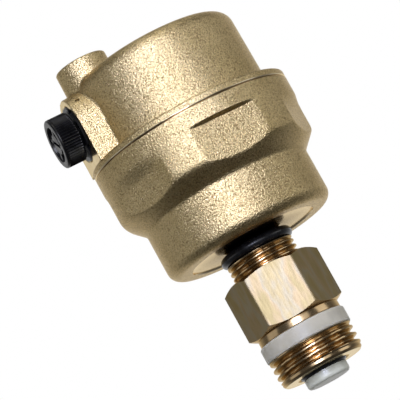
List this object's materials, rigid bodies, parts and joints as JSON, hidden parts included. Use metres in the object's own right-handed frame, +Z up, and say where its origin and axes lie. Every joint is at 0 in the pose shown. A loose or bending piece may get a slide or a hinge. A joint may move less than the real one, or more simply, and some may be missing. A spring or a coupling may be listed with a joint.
{
  "type": "automatic air vent",
  "caption": "Brass automatic air vent with a float chamber, screwed cover, side boss with knurled vent cap, and a separate hexagonal shut-off valve with a G1/2 male thread.",
  "frame": {"origin": "centre of the lower end face of the G1/2 male thread", "axes": "+Z up along the vent's axis, from the system thread to the cover; -X the way the side boss and its vent cap point"},
  "size_m": [0.0548, 0.05, 0.0918],
  "materials": {
    "blasted_brass": "hot-forged and shot-blasted, grainy satin",
    "machined_brass": "turned, bright",
    "white_nylon": "translucent satin",
    "white_plastic": "moulded satin",
    "black_plastic": "moulded satin",
    "black_rubber": "smooth moulded, slight gloss",
    "spring_steel": "drawn wire",
    "float_plastic": "moulded satin"
  },
  "bodies": {
    "check_valve": {"valve_body": "machined_brass", "sealing_ring": "white_nylon", "shutter_spring": "spring_steel"},
    "shutter": {"shutter": "white_plastic", "shutter_o_ring": "black_rubber", "spring_retainer": "white_plastic"},
    "spigot_seal": {"spigot_o_ring": "black_rubber"},
    "vent": {"float_chamber": "blasted_brass", "cover": "blasted_brass", "cover_o_ring": "black_rubber", "valve_insert": "black_plastic", "insert_o_rings": "black_rubber", "lever_bracket": "spring_steel", "bracket_screws": "spring_steel", "lever_pin": "spring_steel"},
    "float": {"float_shell": "float_plastic", "float_lid": "float_plastic", "float_hook": "white_plastic"},
    "lever": {"lever": "white_plastic", "lever_pad": "black_rubber"},
    "cap_seal": {"cap_o_ring": "black_rubber"},
    "cap": {"vent_cap": "black_plastic"}
  },
  "joints": [
    {"name": "vent_lift", "type": "slide", "parent": "check_valve", "child": "spigot_seal", "axis": [0, 0, 1], "range_m": [-0.00435, 0]},
    {"name": "vent_turn", "type": "hinge", "parent": "spigot_seal", "child": "vent", "pos_m": [0, 0, 0.032], "axis": [0, 0, 1], "range_deg": [-1170, 0]},
    {"name": "shutter_travel", "type": "slide", "parent": "check_valve", "child": "shutter", "axis": [0, 0, 1], "range_m": [-0.00435, 0], "deforming": ["shutter_spring"]},
    {"name": "float_travel", "type": "slide", "parent": "vent", "child": "float", "axis": [0, 0, 1], "range_m": [0, 0.00375]},
    {"name": "lever_swing", "type": "hinge", "parent": "vent", "child": "lever", "pos_m": [-0.006, 0, 0.0698], "axis": [0, -1, 0], "range_deg": [0, 20]},
    {"name": "cap_travel", "type": "slide", "parent": "vent", "child": "cap_seal", "axis": [-1, 0, 0], "range_m": [0, 0.002]},
    {"name": "cap_turn", "type": "hinge", "parent": "cap_seal", "child": "cap", "pos_m": [-0.0205, 0, 0.074], "axis": [-1, 0, 0], "range_deg": [0, 722]}
  ],
  "couplings": [
    {"joint": "vent_lift", "follows": "vent_turn", "m_per_rad": 0.00021279},
    {"joint": "shutter_travel", "follows": "vent_turn", "m_per_rad": 0.00021279},
    {"joint": "lever_swing", "follows": "float_travel", "rad_per_m": 93},
    {"joint": "cap_turn", "follows": "cap_travel", "rad_per_m": 6283.2}
  ]
}
